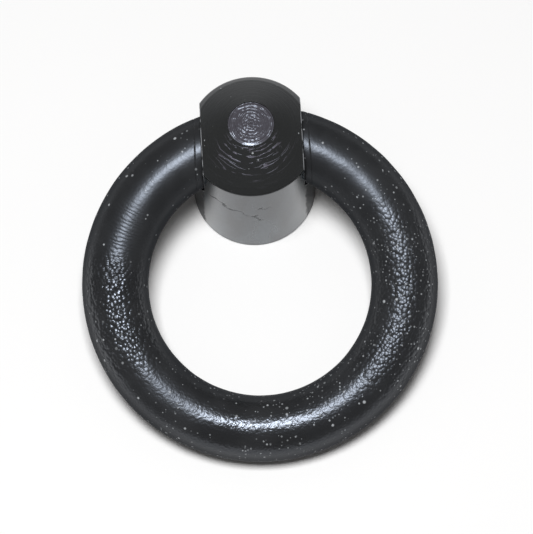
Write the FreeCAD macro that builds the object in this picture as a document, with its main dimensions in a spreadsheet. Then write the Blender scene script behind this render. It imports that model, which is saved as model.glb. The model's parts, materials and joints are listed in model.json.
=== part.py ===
"""Ring pull handle: a turned post with two flats, and a bent bar ring that swings in its cross bore.

Frame: origin at the centre of the mounting face, +Z along the post, X along the pivot.
The ring lies towards -Y and rests on the plane of the mounting face.
"""

import os

import FreeCAD
import Part
import Sketcher

SIZES = {
    "ring_outer_diameter": "50.8",
    "bar_diameter": "9.525",
    "post_diameter": "17.9",
    "pivot_height": "17",
    "rim_height": "22.3",
    "rim_band_width": "0.85",
    "rim_band_height": "0.95",
    "nose_height": "5.1",
    "nose_diameter": "6.5",
    "nose_crown_radius": "120",
    "base_bevel": "0.35",
    "across_flats": "14.3",
    "seat_clearance": "0.85",
    "side_play": "0.1",
    "end_bevel": "0.3",
    "spigot_diameter": "5",
    "spigot_reach": "4.5",
    "spigot_bevel": "0.4",
    "pivot_clearance": "0.06",
    "screw_hole_diameter": "3.45",
    "screw_hole_depth": "10",
}

doc = FreeCAD.newDocument("ring_pull")
sheet = doc.addObject("Spreadsheet::Sheet", "sizes")
for row, (alias, value) in enumerate(SIZES.items(), start=1):
    sheet.set(f"A{row}", alias)
    sheet.set(f"B{row}", value)
    sheet.setAlias(f"B{row}", alias)
doc.recompute()

# Relations that several features share
BAR = "(sizes.bar_diameter / 2)"
POST = "(sizes.post_diameter / 2)"
NOSE = "(sizes.nose_diameter / 2)"
NOSE_TOP = "(sizes.rim_height + sizes.nose_height)"
RING = "((sizes.ring_outer_diameter - sizes.bar_diameter) / 2)"
RING_END = "(sizes.across_flats / 2 + sizes.side_play)"
DROP = f"sqrt({RING}^2 - {RING_END}^2)"
LEAN = f"asin((sizes.pivot_height - {BAR}) / ({DROP} + {RING}))"
SEAT = f"({BAR} + sizes.seat_clearance)"
SPIGOT = "(sizes.spigot_diameter / 2)"
SPIGOT_TIP = "(sizes.across_flats / 2 - sizes.spigot_reach)"
SCREW = "(sizes.screw_hole_diameter / 2)"


def number(expression):
    return float(sheet.evalExpression(expression))


def origin_part(body, role):
    return next(f for f in body.Origin.OriginFeatures if f.Role == role)


def new_sketch(body, name, role):
    sketch = body.newObject("Sketcher::SketchObject", name)
    sketch.AttachmentSupport = [(origin_part(body, role), "")]
    sketch.MapMode = "FlatFace"
    return sketch


def hold(sketch, kind, expression, *where):
    """Add one driving dimension and bind it to the sheet."""
    index = sketch.addConstraint(Sketcher.Constraint(kind, *where, number(expression)))
    sketch.setExpression(f"Constraints[{index}]", expression)


def hold_point(sketch, geo, end, x, y):
    """Hold a point at its two distances from the sketch's origin, on an axis where one is 0."""
    for kind, axis, expression in (("DistanceX", -2, x), ("DistanceY", -1, y)):
        if expression == "0":
            sketch.addConstraint(Sketcher.Constraint("PointOnObject", geo, end, axis))
        else:
            hold(sketch, kind, expression, -1, 1, geo, end)


def outline(sketch, corners, crown=None):
    """Draw a closed chain through the corners. The side named by crown bulges to the right with a radius."""
    points = [FreeCAD.Vector(number(x), number(y), 0) for x, y in corners]
    count = len(points)
    for i in range(count):
        start, stop = points[i], points[(i + 1) % count]
        side = Part.LineSegment(start, stop)
        if crown and crown[0] == i:
            run = stop - start
            sagitta = run.Length ** 2 / (8 * number(crown[1]))
            out = FreeCAD.Vector(run.y, -run.x, 0).normalize() * sagitta
            side = Part.Arc(start, (start + stop) / 2 + out, stop)
        sketch.addGeometry(side, False)
    for i in range(count):
        nxt = (i + 1) % count
        sketch.addConstraint(Sketcher.Constraint("Coincident", i, 2, nxt, 1))
        hold_point(sketch, i, 1, *corners[i])
    if crown:
        hold(sketch, "Radius", crown[1], crown[0])


def circle(sketch, x, y, radius):
    centre = FreeCAD.Vector(number(x), number(y), 0)
    sketch.addGeometry(Part.Circle(centre, FreeCAD.Vector(0, 0, 1), number(radius)), False)
    hold_point(sketch, 0, 3, x, y)
    hold(sketch, "Radius", radius, 0)


def feature(body, kind, name, sketch, **values):
    made = body.newObject(f"PartDesign::{kind}", name)
    made.Profile = sketch
    for key, value in values.items():
        setattr(made, key, value)
    doc.recompute()
    return made


def mirrored(body, name, originals):
    made = body.newObject("PartDesign::Mirrored", name)
    made.Originals = originals
    made.MirrorPlane = (origin_part(body, "YZ_Plane"), [""])
    body.Tip = made
    doc.recompute()


# Post: turned body with a steeper band round its rim, a crowned cone nose and a faced end
post = doc.addObject("PartDesign::Body", "post")
post.Label = "post"
turned = new_sketch(post, "post_profile", "XZ_Plane")
outline(
    turned,
    [
        ("0", "0"),
        (f"{POST} - sizes.base_bevel", "0"),
        (POST, "sizes.base_bevel"),
        (POST, "sizes.rim_height"),
        (f"{POST} - sizes.rim_band_width", "sizes.rim_height + sizes.rim_band_height"),
        (NOSE, NOSE_TOP),
        ("0", NOSE_TOP),
    ],
    crown=(4, "sizes.nose_crown_radius"),
)
feature(post, "Revolution", "post_turning", turned, ReferenceAxis=(origin_part(post, "Z_Axis"), [""]))

# Two flats open to the nose, each ending in a round seat about the pivot
flat = new_sketch(post, "flat_profile", "YZ_Plane")
flat.setExpression("AttachmentOffset.Base.z", "sizes.across_flats / 2")
outline(
    flat,
    [
        (f"-{SEAT}", "sizes.pivot_height"),
        (SEAT, "sizes.pivot_height"),
        (SEAT, NOSE_TOP),
        (f"-{SEAT}", NOSE_TOP),
    ],
)
flat_cut = feature(post, "Pocket", "flat_cut", flat, Type="ThroughAll", Reversed=True)
seat = new_sketch(post, "seat_profile", "YZ_Plane")
seat.setExpression("AttachmentOffset.Base.z", "sizes.across_flats / 2")
circle(seat, "0", "sizes.pivot_height", SEAT)
seat_cut = feature(post, "Pocket", "seat_cut", seat, Type="ThroughAll", Reversed=True)
mirrored(post, "other_flat", [flat_cut, seat_cut])

# Cross bore for the ring's spigots
bore = new_sketch(post, "bore_profile", "YZ_Plane")
circle(bore, "0", "sizes.pivot_height", f"{SPIGOT} + sizes.pivot_clearance")
feature(post, "Pocket", "cross_bore", bore, Type="ThroughAll", Midplane=True)

# Drilled hole for the mounting screw, with the drill's point
drilled = new_sketch(post, "screw_profile", "XZ_Plane")
outline(
    drilled,
    [
        ("0", "0"),
        (SCREW, "0"),
        (SCREW, "sizes.screw_hole_depth"),
        ("0", f"sizes.screw_hole_depth + {SCREW} * tan(31 deg)"),
    ],
)
feature(post, "Groove", "screw_hole", drilled, ReferenceAxis=(origin_part(post, "Z_Axis"), [""]))

# Ring: bent bar about a centre that hangs below the pivot, open where the post stands
ring = doc.addObject("PartDesign::Body", "ring")
ring.Label = "ring"
bar = new_sketch(ring, "bar_profile", "YZ_Plane")
bar.setExpression("AttachmentOffset.Base.x", f"-{DROP}")
circle(bar, f"-{RING}", "0", BAR)
feature(ring, "Revolution", "bent_bar", bar, ReferenceAxis=(bar, ["V_Axis"]))
opening = new_sketch(ring, "opening_profile", "XY_Plane")
outline(
    opening,
    [
        (f"-{RING_END}", f"-{DROP}"),
        (RING_END, f"-{DROP}"),
        (RING_END, "sizes.bar_diameter"),
        (f"-{RING_END}", "sizes.bar_diameter"),
    ],
)
open_bar = feature(ring, "Pocket", "opening", opening, Type="ThroughAll", Midplane=True)

# Bevel round both cut ends
cut = number(RING_END)
rims = []
for index, edge in enumerate(open_bar.Shape.Edges, start=1):
    box = edge.BoundBox
    if box.XLength < 1e-4 and abs(abs(box.XMin) - cut) < 1e-4:
        rims.append(f"Edge{index}")
bevel = ring.newObject("PartDesign::Chamfer", "end_bevel")
bevel.Base = (open_bar, rims)
bevel.setExpression("Size", "sizes.end_bevel")
doc.recompute()

# Turned spigot at each end, on the pivot, rooted in the bar
stub = new_sketch(ring, "spigot_profile", "XY_Plane")
outline(
    stub,
    [
        (f"{RING_END} + {SPIGOT}", "0"),
        (RING_END, SPIGOT),
        (f"{SPIGOT_TIP} + sizes.spigot_bevel", SPIGOT),
        (SPIGOT_TIP, f"{SPIGOT} - sizes.spigot_bevel"),
        (SPIGOT_TIP, "0"),
    ],
)
spigot = feature(ring, "Revolution", "spigot", stub, ReferenceAxis=(origin_part(ring, "X_Axis"), [""]))
mirrored(ring, "other_spigot", [spigot])

# The ring leans on its pivot until its far side lies on the mounting plane
ring.Placement = FreeCAD.Placement(FreeCAD.Vector(), FreeCAD.Rotation(FreeCAD.Vector(1, 0, 0), 10))
ring.setExpression(".Placement.Base.z", "sizes.pivot_height")
ring.setExpression(".Placement.Rotation.Angle", LEAN)
doc.recompute()

for thing in doc.Objects:
    if "Invalid" in thing.State or "Error" in thing.State:
        raise RuntimeError(f"{thing.Name} did not build: {thing.State}")
os.makedirs("parts", exist_ok=True)
for body in (post, ring):
    if body.Shape.isNull() or not body.Shape.isValid():
        raise RuntimeError(f"{body.Label} has no valid shape")
    body.Shape.exportStep(f"parts/{body.Label}.step")
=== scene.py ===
"""Ring pull handle: a black painted ring that swings on a turned post, on a pale floor."""

import json
import math

import bmesh
import bpy
import numpy as np
from bpy.props import FloatProperty, FloatVectorProperty, IntProperty, PointerProperty
from mathutils import Matrix


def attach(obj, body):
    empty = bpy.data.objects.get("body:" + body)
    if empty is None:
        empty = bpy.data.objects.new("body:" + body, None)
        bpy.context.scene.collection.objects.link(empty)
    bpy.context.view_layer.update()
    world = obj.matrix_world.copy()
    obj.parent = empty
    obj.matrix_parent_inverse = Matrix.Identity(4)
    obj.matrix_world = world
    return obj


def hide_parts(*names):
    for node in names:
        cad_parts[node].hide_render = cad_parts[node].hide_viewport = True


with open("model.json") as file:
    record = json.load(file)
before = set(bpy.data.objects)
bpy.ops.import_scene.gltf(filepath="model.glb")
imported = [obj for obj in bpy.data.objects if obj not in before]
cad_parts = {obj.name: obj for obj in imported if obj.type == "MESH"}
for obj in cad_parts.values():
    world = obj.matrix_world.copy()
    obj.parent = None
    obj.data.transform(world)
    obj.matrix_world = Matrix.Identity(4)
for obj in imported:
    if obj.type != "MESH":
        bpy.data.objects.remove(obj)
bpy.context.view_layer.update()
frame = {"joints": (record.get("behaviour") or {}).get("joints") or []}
PIVOT = float(frame["joints"][0]["pos_m"][2])

bl_info = {
    "name": "Ring Pull Handle",
    "version": (1, 0, 0),
    "blender": (4, 5, 0),
    "location": "View3D > Sidebar > Ring Pull",
    "description": "Builds a black ring pull on a turned post, with its stage",
    "category": "Add Mesh",
}

# Lumps or cells to a metre in the paint's patterns
RING_GRAIN = 2500.0
POST_GRAIN = 1500.0
DUST_CELLS = 2300.0
NIB_CELLS = 1100.0
NOSE_DUST_CELLS = 1500.0
LEFT_PEBBLES = 1650.0
RIGHT_PEBBLES = 1800.0

# Pitches of repeated marks and depths of the bump, in metres
RIPPLE_PITCH = 0.00052
COARSE_ARC_PITCH = 0.00071
FINE_ARC_PITCH = 0.00043
FACING_PITCH = 0.00047
RING_BUMP = 0.00012
POST_BUMP = 0.00009

# Radius of the circle that noise is read on round the post: the smaller, the longer its marks
CONE_SWEEP = 0.0011
FACED_SWEEP = 0.0006

# Paint roughness along the ring, as (degrees clockwise from the post, roughness)
UNEVEN_SHEEN = (
    (0, 0.30),
    (50, 0.30),
    (78, 0.27),
    (125, 0.27),
    (150, 0.28),
    (165, 0.24),
    (180, 0.18),
    (195, 0.18),
    (210, 0.26),
    (225, 0.35),
    (245, 0.21),
    (272, 0.21),
    (288, 0.33),
    (305, 0.33),
    (320, 0.29),
    (360, 0.28),
)

# Scratches on the barrel's near side, as (start x and z, stop x and z, width) in metres
SCRATCHES = (
    ((-0.0070, 0.0165), (-0.0016, 0.0146), 0.00030),
    ((-0.0022, 0.0146), (0.0012, 0.0118), 0.00026),
    ((0.0000, 0.0162), (0.0024, 0.0166), 0.00026),
    ((-0.0010, 0.0128), (0.0006, 0.0134), 0.00030),
)

# Floor, surroundings and key lamp
FLOOR_RADIUS = 0.75
FLOOR_LUMPS = 14.0
FLOOR_LIFT = 1.015
FLOOR_GAP = 0.00002
# Radii over which the floor fades to grey: a painted pool of light round the part
LIGHT_POOL_START = 0.10
LIGHT_POOL_STOP = 0.16
LOW_SKY = (0.86, 0.87, 0.88)
HIGH_SKY = (1.0, 1.0, 1.0)
KEY_BACK = 0.50
KEY_LEFT = 0.026
KEY_UP = 0.107
KEY_SIZE = 0.12
KEY_COLOUR = (0.95, 0.975, 1.0)


def length(name, default, description):
    """A length property in metres."""
    return FloatProperty(
        name=name, description=description, default=default, min=0.0, unit="LENGTH", precision=5
    )


def tint(name, default, description):
    """A linear colour property."""
    return FloatVectorProperty(name=name, description=description, default=default, size=3, subtype="COLOR")


class RingPullPost(bpy.types.PropertyGroup):
    """Sizes of the turned post."""

    diameter: length("Diameter", 0.0179, "Diameter of the post's barrel")
    rim_height: length("Rim height", 0.0223, "Height at which the barrel turns into the cone nose")
    band_width: length("Rim band width", 0.00085, "Width of the steeper band round the rim")
    band_height: length("Rim band height", 0.00095, "Height of the steeper band round the rim")
    nose_height: length("Nose height", 0.0051, "Height of the faced end above the rim")
    nose_diameter: length("Nose diameter", 0.0065, "Diameter of the faced end")
    crown_radius: length("Crown radius", 0.120, "Radius of the slight crown on the cone nose")
    base_bevel: length("Base bevel", 0.00035, "Bevel round the mounting face")
    across_flats: length("Across flats", 0.0143, "Distance between the two flats")
    seat_radius: length("Seat radius", 0.0056125, "Radius of the round seat below each flat")
    bore_diameter: length("Bore diameter", 0.00512, "Diameter of the cross bore")
    hole_diameter: length("Hole diameter", 0.00345, "Inside diameter of the screw thread")
    hole_depth: length("Hole depth", 0.010, "Depth of the screw hole")
    thread_pitch: length("Thread pitch", 0.00079375, "Pitch of the screw thread")
    thread_depth: length("Thread depth", 0.00036, "Depth of the screw thread")
    mark_depth: length("Turning marks", 0.0000018, "Depth of the even turning marks on the nose")


class RingPullRing(bpy.types.PropertyGroup):
    """Sizes of the bent ring."""

    outer_diameter: length("Outer diameter", 0.0508, "Outer diameter of the ring")
    bar_diameter: length("Bar diameter", 0.009525, "Diameter of the bar")
    end: length("Ring end", 0.00720, "Distance from the middle to the bar's cut end")
    end_bevel: length("End bevel", 0.0001, "Bevel round the cut end")
    crease_place: length("Crease place", 0.00095, "Distance from the cut end to the fine crease")
    crease_depth: length("Crease depth", 0.00006, "Depth of the fine crease round the bar")
    spigot_diameter: length("Spigot diameter", 0.005, "Diameter of the spigot")
    spigot_tip: length("Spigot tip", 0.00265, "Distance from the middle to the spigot's tip")
    spigot_bevel: length("Spigot bevel", 0.0004, "Bevel of the spigot's tip")
    wave: length("Waviness", 0.000012, "Depth of the hand-finished waviness of the bar")
    seed: IntProperty(name="Seed", description="Seed of the waviness", default=7)


class RingPullFinish(bpy.types.PropertyGroup):
    """Colours of the paint, of its flaws, and of its painted reflection, glint and highlights."""

    ring_black: tint("Ring black", (0.0195, 0.0195, 0.020), "Paint colour of the ring")
    post_black: tint("Post black", (0.0225, 0.0225, 0.0215), "Paint colour of the post")
    speck: tint("Speck", (0.44, 0.45, 0.46), "Colour of the pale specks")
    sheen: tint("Sheen", (0.80, 0.87, 1.0), "Tint of the paint's shine")
    uncoated_and_glint: tint("Torn lines and painted glint", (0.205, 0.185, 0.230), "Colour of the faced end and of the torn turning lines, with their painted glint")
    edge_wear_and_highlight_colour: tint("Edge wear and painted highlight", (0.36, 0.36, 0.37), "Colour of the edges: paint wear, and painted highlight where they catch the lamp")
    smear_and_reflection: tint("Smears and painted reflection", (0.082, 0.098, 0.109), "Bluish grey of the smears on the barrel, painted as its reflection of the floor")


class RingPullStage(bpy.types.PropertyGroup):
    """Floor, surroundings, key lamp and camera."""

    floor: tint("Floor", (0.985, 0.96, 0.936), "Colour of the floor")
    floor_outside_light_pool: tint("Floor outside the painted light pool", (0.30, 0.305, 0.31), "Colour that the floor fades to away from the part, as a painted falloff of light")
    lens: FloatProperty(name="Lens", description="Focal length in millimetres", default=231.0)
    distance: length("Distance", 0.489, "Distance from the camera to the ring's plane")
    shift_right: length("Aim right", 0.00093, "How far right of the ring's centre the camera aims")
    shift_up: length("Aim up", 0.00243, "How far above the ring's centre the camera aims")
    roll: FloatProperty(
        name="Roll",
        description="Roll of the object in the picture",
        default=math.radians(3.2),
        subtype="ANGLE",
    )
    key_power: FloatProperty(
        name="Key power", description="Power of the key lamp", default=2.66, unit="POWER"
    )
    world_level: FloatProperty(
        name="World level", description="Brightness of the surroundings", default=0.10
    )


def grid_faces(rows, columns, first, closed):
    """Quads between neighbouring rows and columns of a grid, wrapping round where it is closed."""
    here = np.arange(rows - 1)[:, None] * columns
    across = np.arange(columns if closed else columns - 1)[None, :]
    beside = (across + 1) % columns
    corners = [here + across, here + beside, here + columns + beside, here + columns + across]
    return np.stack(corners, axis=-1).reshape(-1, 4) + first


def join_patches(patches):
    """Stack grid patches, given as (rows x columns x 3 array, closed or not), into vertices and faces."""
    verts, faces, first = [], [], 0
    for points, closed in patches:
        rows, columns = points.shape[:2]
        verts.append(points.reshape(-1, 3))
        faces.append(grid_faces(rows, columns, first, closed))
        first += rows * columns
    return np.concatenate(verts), np.concatenate(faces)


def solid_from_patches(name, patches, sharp_degrees):
    """Weld the patches along their shared edges into one closed, outward-facing, smooth mesh object."""
    verts, faces = join_patches(patches)
    mesh = bpy.data.meshes.new(name)
    mesh.from_pydata(verts.tolist(), [], faces.tolist())
    work = bmesh.new()
    work.from_mesh(mesh)
    bmesh.ops.remove_doubles(work, verts=work.verts, dist=2e-6)
    bmesh.ops.dissolve_degenerate(work, edges=work.edges, dist=1e-7)
    open_edges = sum(1 for edge in work.edges if len(edge.link_faces) != 2)
    if open_edges:
        raise RuntimeError(f"{name} has {open_edges} open edges")
    bmesh.ops.recalc_face_normals(work, faces=work.faces)
    work.to_mesh(mesh)
    work.free()
    mesh.polygons.foreach_set("use_smooth", np.ones(len(mesh.polygons), dtype=bool))
    mesh.set_sharp_from_angle(angle=math.radians(sharp_degrees))
    piece = bpy.data.objects.new(name, mesh)
    bpy.context.collection.objects.link(piece)
    return piece


def soft_waves(points, seed, count, longest, shortest):
    """Sum of cosines with seeded directions, lengths and phases, of about unit size, at points in space."""
    rng = np.random.default_rng(seed)
    directions = rng.normal(size=(count, 3))
    directions /= np.linalg.norm(directions, axis=1, keepdims=True)
    lengths = np.exp(rng.uniform(np.log(shortest), np.log(longest), count))
    phases = rng.uniform(0, 2 * np.pi, count)
    angles = points @ (directions * (2 * np.pi / lengths)[:, None]).T + phases
    return np.cos(angles).sum(axis=-1) / math.sqrt(count)


def smooth_step(low, high, value):
    """0 below low, 1 above high, and an eased rise between."""
    t = np.clip((value - low) / (high - low), 0, 1)
    return t * t * (3 - 2 * t)


def ring_lean(ring):
    """(drop of the ring's centre below the pivot, lean that lays the ring's far side on the floor)."""
    radius = (ring.outer_diameter - ring.bar_diameter) / 2
    drop = math.sqrt(radius**2 - ring.end**2)
    return drop, math.asin((PIVOT - ring.bar_diameter / 2) / (drop + radius))


def lay_down(points, lean):
    """Turn points from the ring's own plane by the lean about X and lift them to the pivot."""
    x, y, z = points[..., 0], points[..., 1], points[..., 2]
    turned_y = y * math.cos(lean) - z * math.sin(lean)
    turned_z = y * math.sin(lean) + z * math.cos(lean) + PIVOT
    return np.stack([x, turned_y, turned_z], axis=-1)


def ring_rows(ring):
    """The bar as rows of points from one spigot's tip to the other.

    A point of the bend is ((R + r cos v) sin a, (R + r cos v) cos a - drop, r sin v), where a runs from
    the angle at which x meets the bevelled end to the same angle on the other side. Waviness and the
    crease are added along the normal.
    """
    radius = (ring.outer_diameter - ring.bar_diameter) / 2
    bar = ring.bar_diameter / 2
    drop = ring_lean(ring)[0]
    v = np.linspace(0, 2 * np.pi, 120, endpoint=False)
    reach = radius + bar * np.cos(v)
    start = np.arcsin((ring.end + ring.end_bevel) / reach)
    dense = 0.018
    close = np.linspace(0, dense, 36)
    middle = np.linspace(dense, 1 - dense, 560)[1:-1]
    share = np.concatenate([close, middle, 1 - close[::-1]])[:, None]
    a = start + share * (2 * np.pi - 2 * start)
    rise = np.broadcast_to(bar * np.sin(v), a.shape)
    bent = np.stack([reach * np.sin(a), reach * np.cos(a) - drop, rise], axis=-1)
    normal = np.stack([np.cos(v) * np.sin(a), np.cos(v) * np.cos(a), rise / bar], axis=-1)
    calm_share = 0.03
    calm = smooth_step(0, calm_share, share) * smooth_step(0, calm_share, 1 - share)
    lumps = soft_waves(bent, ring.seed, count=26, longest=0.011, shortest=0.0028)
    pebble = soft_waves(bent, ring.seed + 1, count=40, longest=0.0020, shortest=0.0009)
    skin = calm * ring.wave * (lumps + 0.16 * pebble - 1.2)
    from_crease = np.abs(bent[..., 0]) - (ring.end + ring.crease_place)
    near_post = bent[..., 1] > -drop
    skin = skin - near_post * ring.crease_depth * np.exp(-((from_crease / ring.crease_depth) ** 2))
    bent = bent + normal * skin[..., None]
    near_end = ring_end_rows(ring, v, reach, drop)
    far_end = near_end[::-1] * np.array([-1, 1, 1])
    return np.concatenate([near_end, bent, far_end])


def ring_end_rows(ring, v, reach, drop):
    """One end of the bar: circles about the pivot for the spigot, then the cut section less its bevel."""
    bar = ring.bar_diameter / 2
    spigot = ring.spigot_diameter / 2
    tip = ring.spigot_tip
    rise = bar * np.sin(v)
    section_y = np.sqrt(reach**2 - ring.end**2) - drop
    section = np.stack([np.full_like(v, ring.end), section_y, rise], axis=-1)
    middle = section.mean(axis=0)
    drawn_in = middle + (section - middle) * (1 - ring.end_bevel / bar)
    turn = np.arctan2(rise, section_y)
    xs = np.array([tip, tip, tip + ring.spigot_bevel, ring.end])
    rs = np.array([0, spigot - ring.spigot_bevel, spigot, spigot])[:, None]
    flat_x = np.broadcast_to(xs[:, None], (len(xs), v.size))
    circles = np.stack([flat_x, rs * np.cos(turn), rs * np.sin(turn)], axis=-1)
    return np.concatenate([circles, drawn_in[None]])


def screw_hole_rows(post):
    """(r, z) rows of the drill's point, and of the screw hole's wall down to the mounting face."""
    hole = post.hole_diameter / 2
    drill_angle = math.radians(31)
    point = post.hole_depth + hole * math.tan(drill_angle)
    drill = np.array([[0, point], [hole * 0.5, post.hole_depth + hole * 0.3]])
    wall_z = np.linspace(post.hole_depth, 0, 108)
    return drill, np.stack([np.full_like(wall_z, hole), wall_z], axis=-1)


def seat_heights(post):
    """(height of the round seat's lowest point, height at which it meets the flat on the barrel)."""
    big = post.diameter / 2
    wide = post.across_flats / 2
    corner = PIVOT - math.sqrt(post.seat_radius**2 - (big**2 - wide**2))
    return PIVOT - post.seat_radius, corner


def barrel_rows(post):
    """(r, z) rows of the mounting face and of the barrel, set close where the seats cut it."""
    big = post.diameter / 2
    bevel = post.base_bevel
    rim_break = 0.00010
    face_r = np.linspace(post.hole_diameter / 2, big - bevel, 9)[1:]
    face = np.stack([face_r, np.zeros_like(face_r)], axis=-1)
    low, corner = seat_heights(post)
    below = np.linspace(bevel, low, 16)
    seat = low + (corner - low) * (1 - np.cos(np.linspace(0, np.pi / 2, 25)))
    above = np.linspace(corner, post.rim_height - rim_break, 30)
    barrel_z = np.concatenate([below, seat[1:], above[1:]])
    return face, np.stack([np.full_like(barrel_z, big), barrel_z], axis=-1)


def nose_rows(post):
    """(r, z) rows of the band round the rim and of the cone nose.

    The cone is an arc of the crown radius from the band to the faced end, with turning marks as a sum of
    sines along it. One row is put exactly where the flats come out of the cone.
    """
    big = post.diameter / 2
    small = post.nose_diameter / 2
    wide = post.across_flats / 2
    top = post.rim_height + post.nose_height
    rim_in = 0.00004
    rim_up = 0.00001
    band_start = np.array([big - rim_in, post.rim_height + rim_up])
    band_end = np.array([big - post.band_width, post.rim_height + post.band_height])
    band = band_start + np.linspace(0, 1, 12)[:-1, None] * (band_end - band_start)
    chord = np.array([small, top]) - band_end
    span = np.linalg.norm(chord)
    out = np.array([chord[1], -chord[0]]) / span
    t = np.linspace(0, 1, 190)
    sag = span**2 / (8 * post.crown_radius) * 4 * t * (1 - t)
    mark_count = 16
    finest_mark = 0.00022
    widest_mark = 0.0011
    rng = np.random.default_rng(11)
    waves = np.exp(rng.uniform(np.log(finest_mark), np.log(widest_mark), mark_count))
    phase = rng.uniform(0, 2 * np.pi, mark_count)
    marks = np.sin((t * span)[:, None] * 2 * np.pi / waves + phase).sum(axis=1) / 4
    calm = smooth_step(0, 0.06, t) * smooth_step(0, 0.05, 1 - t)
    depth = sag + (marks - 1.2) * post.mark_depth * calm
    cone = band_end + t[:, None] * chord + depth[:, None] * out
    edge_out = 0.00005
    edge_down = 0.00019
    cone[-1] = [small + edge_out, top - edge_down]
    nose = np.concatenate([band, cone])
    nearest = np.argmin(np.abs(nose[:, 0] - wide))
    nose[nearest, 0] = wide
    return nose


def faced_rows(post):
    """(r, z) rows of the faced end, from its edge to its middle.

    The edge is rolled over as depth * share^1.1 of its width, the flat has two sines as facing rings, and
    a small pip stands in the middle.
    """
    small = post.nose_diameter / 2
    top = post.rim_height + post.nose_height
    roll_width = 0.00045
    roll_depth = 0.000105
    ring_depth = 0.000008
    fine_pitch = 0.00036
    coarse_pitch = 0.00057
    pip_height = 0.00003
    pip_foot = 0.00045
    pip_top = 0.00020
    set_back = 0.00005
    edge_r = np.linspace(small, small - roll_width, 22)
    r = np.concatenate([edge_r, np.linspace(small - roll_width, 0.0001, 60)[1:]])
    rings = np.sin(r * 2 * np.pi / fine_pitch) + np.sin(r * 2 * np.pi / coarse_pitch + 1.0)
    rolled = np.clip((r - small + roll_width) / roll_width, 0, 1)
    pip = pip_height * smooth_step(pip_foot, pip_top, r)
    level = top - set_back - roll_depth * rolled**1.1
    disc = np.stack([r, level + pip + ring_depth * (rings - 2) * (1 - rolled)], axis=-1)
    return np.concatenate([disc, [[0, disc[-1, 1]]]])


def post_profile(post):
    """Half profile of the post as (r, z) rows, from the drill's point, down the hole, out and up.

    Also returns which rows are the outside and which are threaded.
    """
    drill, wall = screw_hole_rows(post)
    face, barrel = barrel_rows(post)
    profile = np.concatenate([drill, wall, face, barrel, nose_rows(post), faced_rows(post)])
    row = np.arange(len(profile))
    mouth = len(drill) + len(wall)
    return profile, row >= mouth + len(face), (row >= len(drill)) & (row < mouth)


def post_patches(post):
    """Patches of the post: two half turns that stop at the flats, the flats, seat walls and cross bore.

    A half turn's row at radius r runs from angle b to pi - b, where cos b is (half across flats) / r beside
    a flat, sin b is (half width of the round seat) / r below it, and b is 0 elsewhere. The thread is a ridge
    along z / pitch - turn. Each flat is a fan of straight lines from the bore to the loop that the half
    turns leave open.
    """
    big = post.diameter / 2
    wide = post.across_flats / 2
    low, corner = seat_heights(post)
    profile, outside, threaded = post_profile(post)
    r, z = profile[:, 0], profile[:, 1]
    half_seat = np.sqrt(np.clip(post.seat_radius**2 - (z - PIVOT) ** 2, 0, None))
    slack = 1e-9
    beside = outside & (z >= corner - slack) & (r >= wide - slack)
    under = outside & (z >= low - slack) & (z < corner - slack)
    stop = np.where(beside, np.arccos(np.clip(wide / np.maximum(r, slack), -1, 1)), 0.0)
    stop = np.where(under, np.arcsin(np.clip(half_seat / big, -1, 1)), stop)
    share = np.linspace(0, 1, 97)[None, :]
    angle = stop[:, None] + share * (np.pi - 2 * stop[:, None])
    lead_in = smooth_step(0.0002, 0.0007, z)
    run_out = smooth_step(post.hole_depth, post.hole_depth - 0.0012, z)
    ease = lead_in * run_out
    patches = []
    for turn in (0.0, np.pi):
        around = angle + turn
        ridge = 2 * np.abs(((z[:, None] / post.thread_pitch - around / (2 * np.pi)) % 1) - 0.5)
        cut = np.clip(ridge * 1.5 - 0.3, 0, 1) * post.thread_depth * (ease * threaded)[:, None]
        radius = r[:, None] + cut
        height = np.broadcast_to(z[:, None], around.shape)
        half_turn = np.stack([radius * np.cos(around), radius * np.sin(around), height], axis=-1)
        patches.append((half_turn, False))
    rim = np.flatnonzero(beside | under)
    side = np.where(under[rim], half_seat[rim], np.sqrt(np.clip(r[rim] ** 2 - wide**2, 0, None)))
    loop_y = np.concatenate([side, -side[-2:0:-1]])
    loop_z = np.concatenate([z[rim], z[rim][-2:0:-1]])
    away = np.stack([loop_y, loop_z - PIVOT], axis=-1)
    bore = away / np.linalg.norm(away, axis=1, keepdims=True) * post.bore_diameter / 2
    share = np.linspace(0, 1, 7)[:, None, None]
    fan = bore + share * (away - bore)
    at_pivot = np.array([0, 0, PIVOT])
    flat = np.concatenate([np.full(fan.shape[:2] + (1,), wide), fan], axis=-1) + at_pivot
    across = np.linspace(-wide, wide, 12)[:, None, None]
    tube_x = np.broadcast_to(across, (12, len(bore), 1))
    tube_yz = np.broadcast_to(bore, (12,) + bore.shape)
    tube = np.concatenate([tube_x, tube_yz], axis=-1) + at_pivot
    patches += [(flat, True), (flat * np.array([-1, 1, 1]), True), (tube, True)]
    seat = np.append(np.flatnonzero(under), np.flatnonzero(beside)[0])
    seat_y = np.where(under[seat], half_seat[seat], math.sqrt(big**2 - wide**2))
    outer_x = np.sqrt(np.clip(big**2 - seat_y**2, 0, None))
    wall_x = wide + np.linspace(0, 1, 5)[:, None] * (outer_x - wide)
    wall_y = np.broadcast_to(seat_y, wall_x.shape)
    wall_z = np.broadcast_to(z[seat], wall_x.shape)
    wall = np.stack([wall_x, wall_y, wall_z], axis=-1)
    for flip_x in (1, -1):
        for flip_y in (1, -1):
            patches.append((wall * np.array([flip_x, flip_y, 1]), False))
    return patches


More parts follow.
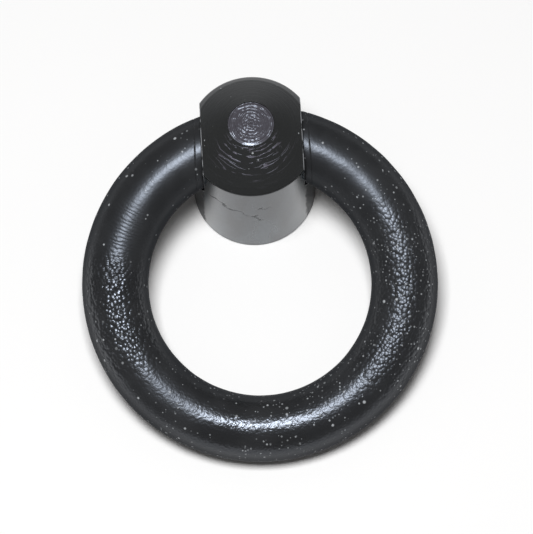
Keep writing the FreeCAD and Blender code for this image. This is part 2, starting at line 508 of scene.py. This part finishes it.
class Field:
    """A value that changes over the surface: an output socket of a node tree, used in sums like a number."""

    def __init__(self, tree, socket):
        self.tree = tree
        self.socket = socket

    def worked(self, operation, first, second=0.0, clamp=False):
        """One Math node's result."""
        values = {0: first, 1: second}
        return field(self.tree, "ShaderNodeMath", 0, values, operation=operation, use_clamp=clamp)

    def __add__(self, other):
        return self.worked("ADD", self, other)

    def __sub__(self, other):
        return self.worked("SUBTRACT", self, other)

    def __rsub__(self, other):
        return self.worked("SUBTRACT", other, self)

    def __mul__(self, other):
        return self.worked("MULTIPLY", self, other)

    def __truediv__(self, other):
        return self.worked("DIVIDE", self, other)

    def __gt__(self, other):
        return self.worked("GREATER_THAN", self, other)

    def __lt__(self, other):
        return self.worked("LESS_THAN", self, other)

    def __abs__(self):
        return self.worked("ABSOLUTE", self)

    def sine(self):
        return self.worked("SINE", self)

    def fraction(self):
        return self.worked("FRACT", self)

    def larger(self, other):
        """The larger of two values."""
        return self.worked("MAXIMUM", self, other)

    def held(self):
        """The value held between 0 and 1."""
        return self.worked("ADD", self, 0.0, clamp=True)


def plug(tree, socket, value):
    """Link a field to an input socket, or set the socket to a constant."""
    if isinstance(value, Field):
        tree.links.new(value.socket, socket)
    else:
        socket.default_value = value


def add_node(tree, kind, values=None, **settings):
    """Add a node, set its plain settings and fill its input sockets by name or number."""
    node = tree.nodes.new(kind)
    for key, value in settings.items():
        setattr(node, key, value)
    for key, value in (values or {}).items():
        plug(tree, node.inputs[key], value)
    return node


def field(tree, kind, output, values=None, **settings):
    """One output of a new node, as a field."""
    return Field(tree, add_node(tree, kind, values, **settings).outputs[output])


def ramp(value, low, high):
    """The value mapped from low..high to an eased 0..1."""
    values = {"Value": value, "From Min": low, "From Max": high}
    return field(value.tree, "ShaderNodeMapRange", "Result", values, interpolation_type="SMOOTHSTEP")


def noise(place, scale, detail=2.0, roughness=0.5):
    """Cloudy noise from 0 to 1 with a number of lumps to a metre."""
    values = {"Vector": place, "Scale": scale, "Detail": detail, "Roughness": roughness}
    return field(place.tree, "ShaderNodeTexNoise", "Fac", values)


def mix_colour(factor, first, second):
    """The first colour where the factor is 0, the second where it is 1."""
    return field(factor.tree, "ShaderNodeMix", 2, {0: factor, 6: first, 7: second}, data_type="RGBA")


def attribute(tree, name):
    """A value stored on the mesh's points."""
    return field(tree, "ShaderNodeAttribute", "Fac", attribute_name=name)


def axes_of(vector):
    """The X, Y and Z of a vector."""
    split = add_node(vector.tree, "ShaderNodeSeparateXYZ", {"Vector": vector}).outputs
    return [Field(vector.tree, split[axis]) for axis in "XYZ"]


def vector_of(x, y, z=0.0):
    """A vector from its X, Y and Z."""
    return field(x.tree, "ShaderNodeCombineXYZ", 0, {"X": x, "Y": y, "Z": z})


def length_of(vector):
    """A vector's length."""
    return field(vector.tree, "ShaderNodeVectorMath", "Value", {0: vector}, operation="LENGTH")


def new_group(name, inputs, outputs):
    """An empty shader node group: inputs are (name, type, default), outputs are names of values.

    Returns its inputs as fields by name and its output sockets.
    """
    group = bpy.data.node_groups.new(name, "ShaderNodeTree")
    for label, kind, default in inputs:
        socket = group.interface.new_socket(label, in_out="INPUT", socket_type=kind)
        if default is not None:
            socket.default_value = default
    for label in outputs:
        group.interface.new_socket(label, in_out="OUTPUT", socket_type="NodeSocketFloat")
    given = group.nodes.new("NodeGroupInput").outputs
    fields = {label: Field(group, given[label]) for label, _, _ in inputs}
    return fields, group.nodes.new("NodeGroupOutput").inputs


def paint_skin_group():
    """Height of sprayed paint: a fine pebble over a softer orange peel, and a slow change of gloss."""
    sockets = [("Vector", "NodeSocketVector", None), ("Grain", "NodeSocketFloat", RING_GRAIN)]
    given, result = new_group("Paint skin", sockets, ["Height", "Gloss"])
    place, grain = given["Vector"], given["Grain"]
    fine = noise(place, grain, detail=1.0)
    peel = noise(place, grain * 0.36)
    slow = noise(place, grain * 0.07, detail=3.0, roughness=0.55)
    plug(place.tree, result["Height"], fine * 0.55 + peel * 0.45)
    plug(place.tree, result["Gloss"], slow)


def pale_specks_group():
    """Mask of small round specks: one in a cell, kept where the cell's own number is below the density."""
    sockets = [
        ("Vector", "NodeSocketVector", None),
        ("Scale", "NodeSocketFloat", 1500.0),
        ("Density", "NodeSocketFloat", 0.2),
        ("Size", "NodeSocketFloat", 0.28),
    ]
    given, result = new_group("Pale specks", sockets, ["Mask"])
    place = given["Vector"]
    tree = place.tree
    cells = add_node(tree, "ShaderNodeTexVoronoi", {"Vector": place, "Scale": given["Scale"]}).outputs
    colour = Field(tree, cells["Color"])
    drawn = add_node(tree, "ShaderNodeSeparateColor", {"Color": colour}).outputs
    chance, growth, whiteness = (Field(tree, socket) for socket in drawn)
    size = given["Size"] * (growth + 0.35)
    dot = ramp((size - Field(tree, cells["Distance"])) / size, 0.0, 0.55)
    mask = dot * (chance < given["Density"]) * (whiteness * 0.7 + 0.3)
    plug(tree, result["Mask"], mask.held())


def use_group(name, place, **values):
    """Place a node group in a material, and return its outputs as fields by name."""
    tree = place.tree
    node = tree.nodes.new("ShaderNodeGroup")
    node.node_tree = bpy.data.node_groups[name]
    for key, value in {"Vector": place, **values}.items():
        plug(tree, node.inputs[key], value)
    return {output.name: Field(tree, output) for output in node.outputs}


def new_material(name):
    """(material, its Principled shader, Object coordinates as a field)."""
    material = bpy.data.materials.new(name)
    material.use_nodes = True
    tree = material.node_tree
    return material, tree.nodes["Principled BSDF"], field(tree, "ShaderNodeTexCoord", "Object")


def dress(shader, colour, rough, height, depth, strength):
    """Give a shader its colour, its roughness and the bump of a height."""
    values = {"Height": height, "Distance": depth, "Strength": strength}
    normal = field(colour.tree, "ShaderNodeBump", "Normal", values)
    for socket, value in (("Base Color", colour), ("Roughness", rough), ("Normal", normal)):
        plug(colour.tree, shader.inputs[socket], value)


def rgba(colour, strength=1.0):
    """A colour times a strength, with its alpha."""
    return (*(channel * strength for channel in colour), 1.0)


def ring_material(finish):
    """Black semi-gloss paint on the ring: pebbles, ripples across the bar, pale specks, and flanks that are
    less glossy and darkened as painted shade.
    """
    material, shader, place = new_material("ring_black_paint")
    tree = place.tree
    x, y, _ = axes_of(place)
    skin = use_group("Paint skin", place, Grain=RING_GRAIN)
    # Specks crowd towards the right and the front
    crowd = ramp(x - y * 0.6, -0.006, 0.034)
    patchy = ramp(noise(place, 160.0, detail=3.0), 0.34, 0.66)
    density = (crowd * 0.5 + 0.10) * patchy
    dust = use_group("Pale specks", place, Scale=DUST_CELLS, Density=density, Size=0.34)["Mask"]
    nibs = use_group("Pale specks", place, Scale=NIB_CELLS, Density=0.22, Size=0.25)["Mask"]
    specks = (dust * 0.8).larger(nibs)
    # Height of the skin: ripples across the bar, grain, and round pebbles at both sides
    wander = noise(place, 900.0, detail=3.0) * 11.0
    ripple = (attribute(tree, "along_bar") * (2 * math.pi / RIPPLE_PITCH) + wander).sine()
    ripple = ripple * attribute(tree, "ripple_zone") * 0.30
    grain = skin["Height"] + ripple + specks * 0.35
    grain = grain * (attribute(tree, "grain_zone") * 0.75 + 0.35)
    right = x > 0.0
    cells = right * (RIGHT_PEBBLES - LEFT_PEBBLES) + LEFT_PEBBLES
    apart = field(tree, "ShaderNodeTexVoronoi", "Distance", {"Vector": place, "Scale": cells})
    swell = attribute(tree, "pebble_zone") * (2.0 - right * 0.65)
    pebbles = (1.0 - apart * apart) * swell
    dull_and_shaded = ramp(attribute(tree, "flank"), 0.20, 0.7)
    height = (grain + pebbles) * (1.0 - dull_and_shaded * 0.9)
    # Paler in slow patches; less glossy down the flanks, and darkened there as painted shade
    black = finish.ring_black
    tone = mix_colour(ramp(skin["Gloss"], 0.35, 0.7), rgba(black), rgba(black, 1.4))
    # Painted shade: the flanks' colour is darkened towards black
    tone = mix_colour(dull_and_shaded, tone, rgba(black, 0.3))
    colour = mix_colour(specks, tone, rgba(finish.speck))
    rough = (skin["Gloss"] * 0.10 + attribute(tree, "uneven_sheen") + dull_and_shaded * 0.55).held()
    dress(shader, colour, rough, height, depth=RING_BUMP, strength=0.7)
    shader.inputs["Specular IOR Level"].default_value = 0.56
    shader.inputs["Specular Tint"].default_value = rgba(finish.sheen)
    return material


def hairline(place, start, stop, width):
    """Mask of a thin wandering scratch on the near side, between two points given as (x, z) in metres."""
    x, y, z = axes_of(place)
    fade = 0.0006
    wander = 0.0036
    slope = (stop[1] - start[1]) / (stop[0] - start[0])
    line = (x - start[0]) * slope + start[1]
    shake = (noise(place, 900.0, detail=3.0) - 0.5) * wander
    thin = ramp(abs(z + shake - line), width, width * 0.3)
    low, high = min(start[0], stop[0]), max(start[0], stop[0])
    span = ramp(x, low, low + fade) * ramp(x, high, high - fade)
    return thin * span * (y < 0.0)


def scratches(place):
    """Mask of all the scratches."""
    mask = hairline(place, *SCRATCHES[0])
    for scratch in SCRATCHES[1:]:
        mask = mask.larger(hairline(place, *scratch))
    return mask


def edge_wear_and_highlight(place, post):
    """Mask of paint wear and painted highlight: thin lines along the flats' edges and round the seats below
    them, broken by noise.
    """
    x, y, z = axes_of(place)
    aside = abs(x)
    wide = post.across_flats / 2
    flat = ramp(aside, wide - 0.00013, wide - 0.00004) * ramp(aside, wide + 0.00016, wide + 0.00008)
    flat = flat * (z > PIVOT - 0.0014) * (abs(aside - wide) > 0.000003)
    below = z - PIVOT
    off = length_of(vector_of(y, below)) - post.seat_radius
    seat = ramp(off, 0.00022, 0.00010) * (off > 0.00001)
    seat = seat * (aside > wide + 0.00002) * (below < 0.0)
    broken_up = ramp(noise(place, 800.0, detail=3.0), 0.36, 0.58)
    return flat.larger(seat) * broken_up


def broken_arcs(radius, lathe, pitch, width, broken):
    """Mask of thin turning lines at about every pitch of radius, wandering and broken along their length."""
    sway = noise(lathe, 900.0, detail=3.0, roughness=0.6) * 2.2
    off = abs((radius / pitch + sway).fraction() - 0.5)
    piece = ramp(noise(lathe, 1700.0, detail=3.0, roughness=0.65), broken, broken + 0.09)
    return ramp(off, width, width * 0.3) * piece


def post_material(finish, post):
    """Black gloss paint on the post: torn lines on the nose with a painted glint, a pitted faced end, a
    painted reflection on the barrel, edges with paint wear and painted highlight, scratches and specks.
    """
    material, shader, place = new_material("post_black_paint")
    tree = place.tree
    x, y, z = axes_of(place)
    level = vector_of(x, y)
    radius = length_of(level)
    unit = field(tree, "ShaderNodeVectorMath", "Vector", {0: level}, operation="NORMALIZE")
    about_x, about_y, _ = axes_of(unit)
    skin = use_group("Paint skin", place, Grain=POST_GRAIN)
    edge = post.nose_diameter / 2
    rim = post.rim_height
    top = rim + post.nose_height
    # Where the faced end, the nose and the cone are
    faced = ramp(radius, edge + 0.00004, edge - 0.00006) * ramp(z, top - 0.0006, top - 0.0004)
    on_nose = ramp(z, rim - 0.0001, rim + 0.0003)
    cone = (on_nose - faced).held()
    # Turning lines: fine ones all over the cone, torn ones on its near side, whose lighter colour is
    # uncoated metal and also a painted glint where they face the lamp
    lathe = vector_of(about_x * CONE_SWEEP, about_y * CONE_SWEEP, radius)
    coarse = broken_arcs(radius, lathe, COARSE_ARC_PITCH, width=0.075, broken=0.46)
    slight = broken_arcs(radius, lathe, FINE_ARC_PITCH, width=0.09, broken=0.50) * 0.6
    near_cone = cone * (ramp(about_y, -0.15, -0.9) * ramp(radius, 0.0086, 0.0045))
    torn_lines_and_glint = coarse.larger(slight) * near_cone
    lines = noise(lathe, 5600.0, detail=3.0, roughness=0.7) * (cone * 0.16)
    # Grit of the faced end, in rings, left off its rolled near edge
    rings = vector_of(about_x * FACED_SWEEP, about_y * FACED_SWEEP, radius)
    wobble = noise(place, 700.0) * 3.0
    facing = (radius * (2 * math.pi / FACING_PITCH) + wobble).sine()
    grit = noise(rings, 2600.0, detail=1.0) * 2.4 + facing * 0.30 + noise(place, 1500.0, detail=1.0) * 1.2
    core = ramp(radius, edge - 0.00042, edge - 0.0007).larger(ramp(about_y, -0.72, -0.3))
    grit = grit * (core * 1.75 + 0.12) * faced
    scratch = scratches(place)
    height = skin["Height"] * (on_nose * 0.25 + 0.10) + lines + (grit + torn_lines_and_glint * 0.8) - scratch * 0.7
    # Smears on the barrel, coloured bluish grey as a painted reflection of the floor; kept off beside the
    # seats, where the plain black stands as painted shade
    drawn = field(tree, "ShaderNodeMapping", "Vector", {"Vector": place, "Scale": (1.0, 1.0, 0.3)})
    smear_and_reflection_mask = ramp(noise(drawn, 420.0), 0.20, 0.72) * ramp(z, rim - 0.0002, rim - 0.0009)
    ragged = (noise(place, 700.0, detail=3.0, roughness=0.6) - 0.5) * 0.16
    painted_dark_side = (ramp(abs(about_x) + ragged, 0.80, 0.84) - on_nose).held()
    smear_and_reflection_mask = (smear_and_reflection_mask - painted_dark_side).held()
    # Paint, painted reflection, uncoated metal with painted glint, edges with paint wear and painted
    # highlight, scratches and specks
    dust = use_group("Pale specks", place, Scale=NOSE_DUST_CELLS, Density=on_nose * 0.10, Size=0.24)["Mask"]
    # Painted reflection: the barrel's bluish grey smears stand in for its reflection of the floor
    colour = mix_colour(smear_and_reflection_mask, rgba(finish.post_black), rgba(finish.smear_and_reflection))
    # Lighter turning lines on the cone's near side: uncoated metal, and a painted glint where they face the
    # lamp
    colour = mix_colour((torn_lines_and_glint * 0.8).larger(faced * 0.24), colour, rgba(finish.uncoated_and_glint))
    # Painted highlight: the flats' and seats' edges are coloured pale where they catch the lamp, with some
    # paint wear
    colour = mix_colour(edge_wear_and_highlight(place, post), colour, rgba(finish.edge_wear_and_highlight_colour))
    colour = mix_colour(scratch, colour, rgba(finish.post_black))
    colour = mix_colour(dust, colour, rgba(finish.speck))
    rough = skin["Gloss"] * 0.05 + 0.025 + cone * 0.30 + faced * (core * 0.09 + 0.15)
    rough = rough + scratch.larger(painted_dark_side) * 0.4
    dress(shader, colour, rough, height, depth=POST_BUMP, strength=0.6)
    shader.inputs["Specular Tint"].default_value = rgba(finish.sheen)
    return material


def bar_attributes(piece, ring):
    """Store, at each point, what the ring's paint follows.

    These are its length along the bar, its shares of the ripples, pebbles and grain by the angle round the
    ring, the paint's roughness there, and how far down the bar's flank it is.
    """
    mesh = piece.data
    points = np.empty(len(mesh.vertices) * 3, dtype=np.float32)
    mesh.vertices.foreach_get("co", points)
    points = points.reshape(-1, 3).astype(float)
    drop, lean = ring_lean(ring)
    y, z = points[:, 1], points[:, 2] - PIVOT
    flat_y = y * math.cos(lean) + z * math.sin(lean) + drop
    angle = np.arctan2(points[:, 0], flat_y) % (2 * np.pi)
    radius = (ring.outer_diameter - ring.bar_diameter) / 2
    degrees = np.degrees(angle)
    right_pebbles = smooth_step(50, 78, degrees) * smooth_step(150, 122, degrees)
    left_pebbles = smooth_step(228, 250, degrees) * smooth_step(290, 276, degrees)
    above = z * math.cos(lean) - y * math.sin(lean)
    layers = {
        "along_bar": angle * radius,
        "ripple_zone": smooth_step(270, 280, degrees) * smooth_step(310, 300, degrees),
        "pebble_zone": right_pebbles + left_pebbles,
        "grain_zone": smooth_step(50, 110, degrees) * smooth_step(290, 262, degrees),
        "uneven_sheen": np.interp(degrees, *zip(*UNEVEN_SHEEN)),
        "flank": 1 - np.clip(np.abs(above) / (ring.bar_diameter / 2), 0, 1),
    }
    for name, values in layers.items():
        layer = mesh.attributes.new(name, "FLOAT", "POINT")
        layer.data.foreach_set("value", values.astype(np.float32))


class RINGPULL_OT_ring(bpy.types.Operator):
    """Build the ring of bent bar with its spigots"""

    bl_idname = "ringpull.ring"
    bl_label = "Build Ring"

    def execute(self, context):
        ring = context.scene.ring_pull_ring
        rows = lay_down(ring_rows(ring), ring_lean(ring)[1])
        piece = solid_from_patches("ring_bar", [(rows, True)], sharp_degrees=32)
        bar_attributes(piece, ring)
        piece.data.materials.append(ring_material(context.scene.ring_pull_finish))
        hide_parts("ring")
        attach(piece, "ring_body")
        return {"FINISHED"}


class RINGPULL_OT_post(bpy.types.Operator):
    """Build the turned post with its flats, seats, cross bore and threaded hole"""

    bl_idname = "ringpull.post"
    bl_label = "Build Post"

    def execute(self, context):
        post = context.scene.ring_pull_post
        piece = solid_from_patches("post_turned", post_patches(post), sharp_degrees=24)
        piece.data.materials.append(post_material(context.scene.ring_pull_finish, post))
        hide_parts("post")
        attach(piece, "post_body")
        return {"FINISHED"}


class RINGPULL_OT_stage(bpy.types.Operator):
    """Lay the floor, hang the key lamp and set up the camera"""

    bl_idname = "ringpull.stage"
    bl_label = "Build Stage"

    def execute(self, context):
        scene = context.scene
        stage = scene.ring_pull_stage
        lay_floor(stage)
        set_world(scene, stage)
        aim_camera(scene, stage, scene.ring_pull_ring)
        scene.view_settings.view_transform = "Standard"
        return {"FINISHED"}


def lay_floor(stage):
    """A round pale floor under the mounting face, greyer away from the part as a painted pool of light."""
    sides = 96
    turn = np.linspace(0, 2 * np.pi, sides, endpoint=False)
    edge = [FLOOR_RADIUS * np.cos(turn), FLOOR_RADIUS * np.sin(turn), np.full_like(turn, -FLOOR_GAP)]
    mesh = bpy.data.meshes.new("floor")
    mesh.from_pydata(np.stack(edge, axis=-1).tolist(), [], [list(range(sides))])
    floor = bpy.data.objects.new("floor", mesh)
    bpy.context.collection.objects.link(floor)
    material, shader, place = new_material("pale_floor")
    paler = [min(1.0, channel * FLOOR_LIFT) for channel in stage.floor]
    paper = mix_colour(noise(place, FLOOR_LUMPS), rgba(stage.floor), rgba(paler))
    # Painted pool of light: the floor's colour fades to grey away from the part
    paper = mix_colour(ramp(length_of(place), LIGHT_POOL_START, LIGHT_POOL_STOP), paper, rgba(stage.floor_outside_light_pool))
    plug(place.tree, shader.inputs["Base Color"], paper)
    shader.inputs["Roughness"].default_value = 0.9
    shader.inputs["Specular IOR Level"].default_value = 0.1
    mesh.materials.append(material)


def set_world(scene, stage):
    """Plain grey surroundings, a little brighter overhead."""
    world = bpy.data.worlds.new("studio")
    scene.world = world
    world.use_nodes = True
    tree = world.node_tree
    sky = tree.nodes["Background"]
    up = axes_of(field(tree, "ShaderNodeTexCoord", "Generated"))[2]
    shade = mix_colour(ramp(up, -0.1, 0.9), rgba(LOW_SKY), rgba(HIGH_SKY))
    plug(tree, sky.inputs["Color"], shade)
    sky.inputs["Strength"].default_value = stage.world_level


def camera_axes(stage, ring):
    """(ring's centre, right, up, back) of the picture: square on to the ring's plane, with the roll."""
    drop, lean = ring_lean(ring)
    centre = np.array([0, -drop * math.cos(lean), PIVOT - drop * math.sin(lean)])
    back = np.array([0, -math.sin(lean), math.cos(lean)])
    along = np.array([0, math.cos(lean), math.sin(lean)])
    side = np.array([1.0, 0, 0])
    right = side * math.cos(stage.roll) - along * math.sin(stage.roll)
    up = along * math.cos(stage.roll) + side * math.sin(stage.roll)
    return centre, right, up, back


def placed(thing, right, up, back, position):
    """Give an object its axes and place as a matrix."""
    matrix = np.eye(4)
    matrix[:3] = np.stack([right, up, back, position], axis=-1)
    thing.matrix_world = Matrix(matrix.tolist())


def area_lamp(name, position, target, size, power, colour):
    """A square area lamp at a place, turned towards its target."""
    data = bpy.data.lights.new(name, "AREA")
    data.energy = power
    data.size = size
    data.color = colour
    lamp = bpy.data.objects.new(name, data)
    bpy.context.collection.objects.link(lamp)
    back = np.array(position) - np.array(target)
    back = back / np.linalg.norm(back)
    right = np.cross([0.0, 1.0, 0.0], back)
    right = right / np.linalg.norm(right)
    placed(lamp, right, np.cross(back, right), back, position)


def aim_camera(scene, stage, ring):
    """Camera square on to the ring, and the key lamp set from its axes."""
    centre, right, up, back = camera_axes(stage, ring)
    data = bpy.data.cameras.new("camera")
    data.lens = stage.lens
    data.clip_start = 0.01
    camera = bpy.data.objects.new("camera", data)
    bpy.context.collection.objects.link(camera)
    aim = centre + right * stage.shift_right + up * stage.shift_up
    placed(camera, right, up, back, aim + back * stage.distance)
    scene.camera = camera
    key = centre + back * KEY_BACK - right * KEY_LEFT + up * KEY_UP
    area_lamp("key", key, centre, KEY_SIZE, stage.key_power, KEY_COLOUR)


class RINGPULL_PT_panel(bpy.types.Panel):
    """Buttons for the ring pull"""

    bl_label = "Ring Pull"
    bl_idname = "RINGPULL_PT_panel"
    bl_space_type = "VIEW_3D"
    bl_region_type = "UI"
    bl_category = "Ring Pull"

    def draw(self, context):
        for operator in ("ringpull.ring", "ringpull.post", "ringpull.stage"):
            self.layout.operator(operator)


GROUPS = {
    "ring_pull_post": RingPullPost,
    "ring_pull_ring": RingPullRing,
    "ring_pull_finish": RingPullFinish,
    "ring_pull_stage": RingPullStage,
}
CLASSES = (*GROUPS.values(), RINGPULL_OT_ring, RINGPULL_OT_post, RINGPULL_OT_stage, RINGPULL_PT_panel)


def register():
    for cls in CLASSES:
        bpy.utils.register_class(cls)
    for name, group in GROUPS.items():
        setattr(bpy.types.Scene, name, PointerProperty(type=group))


def unregister():
    for name in GROUPS:
        delattr(bpy.types.Scene, name)
    for cls in reversed(CLASSES):
        bpy.utils.unregister_class(cls)


def main():
    """Register, build the paint groups, the pieces and the stage."""
    register()
    paint_skin_group()
    pale_specks_group()
    bpy.ops.ringpull.ring()
    bpy.ops.ringpull.post()
    bpy.ops.ringpull.stage()


if __name__ == "__main__":
    main()
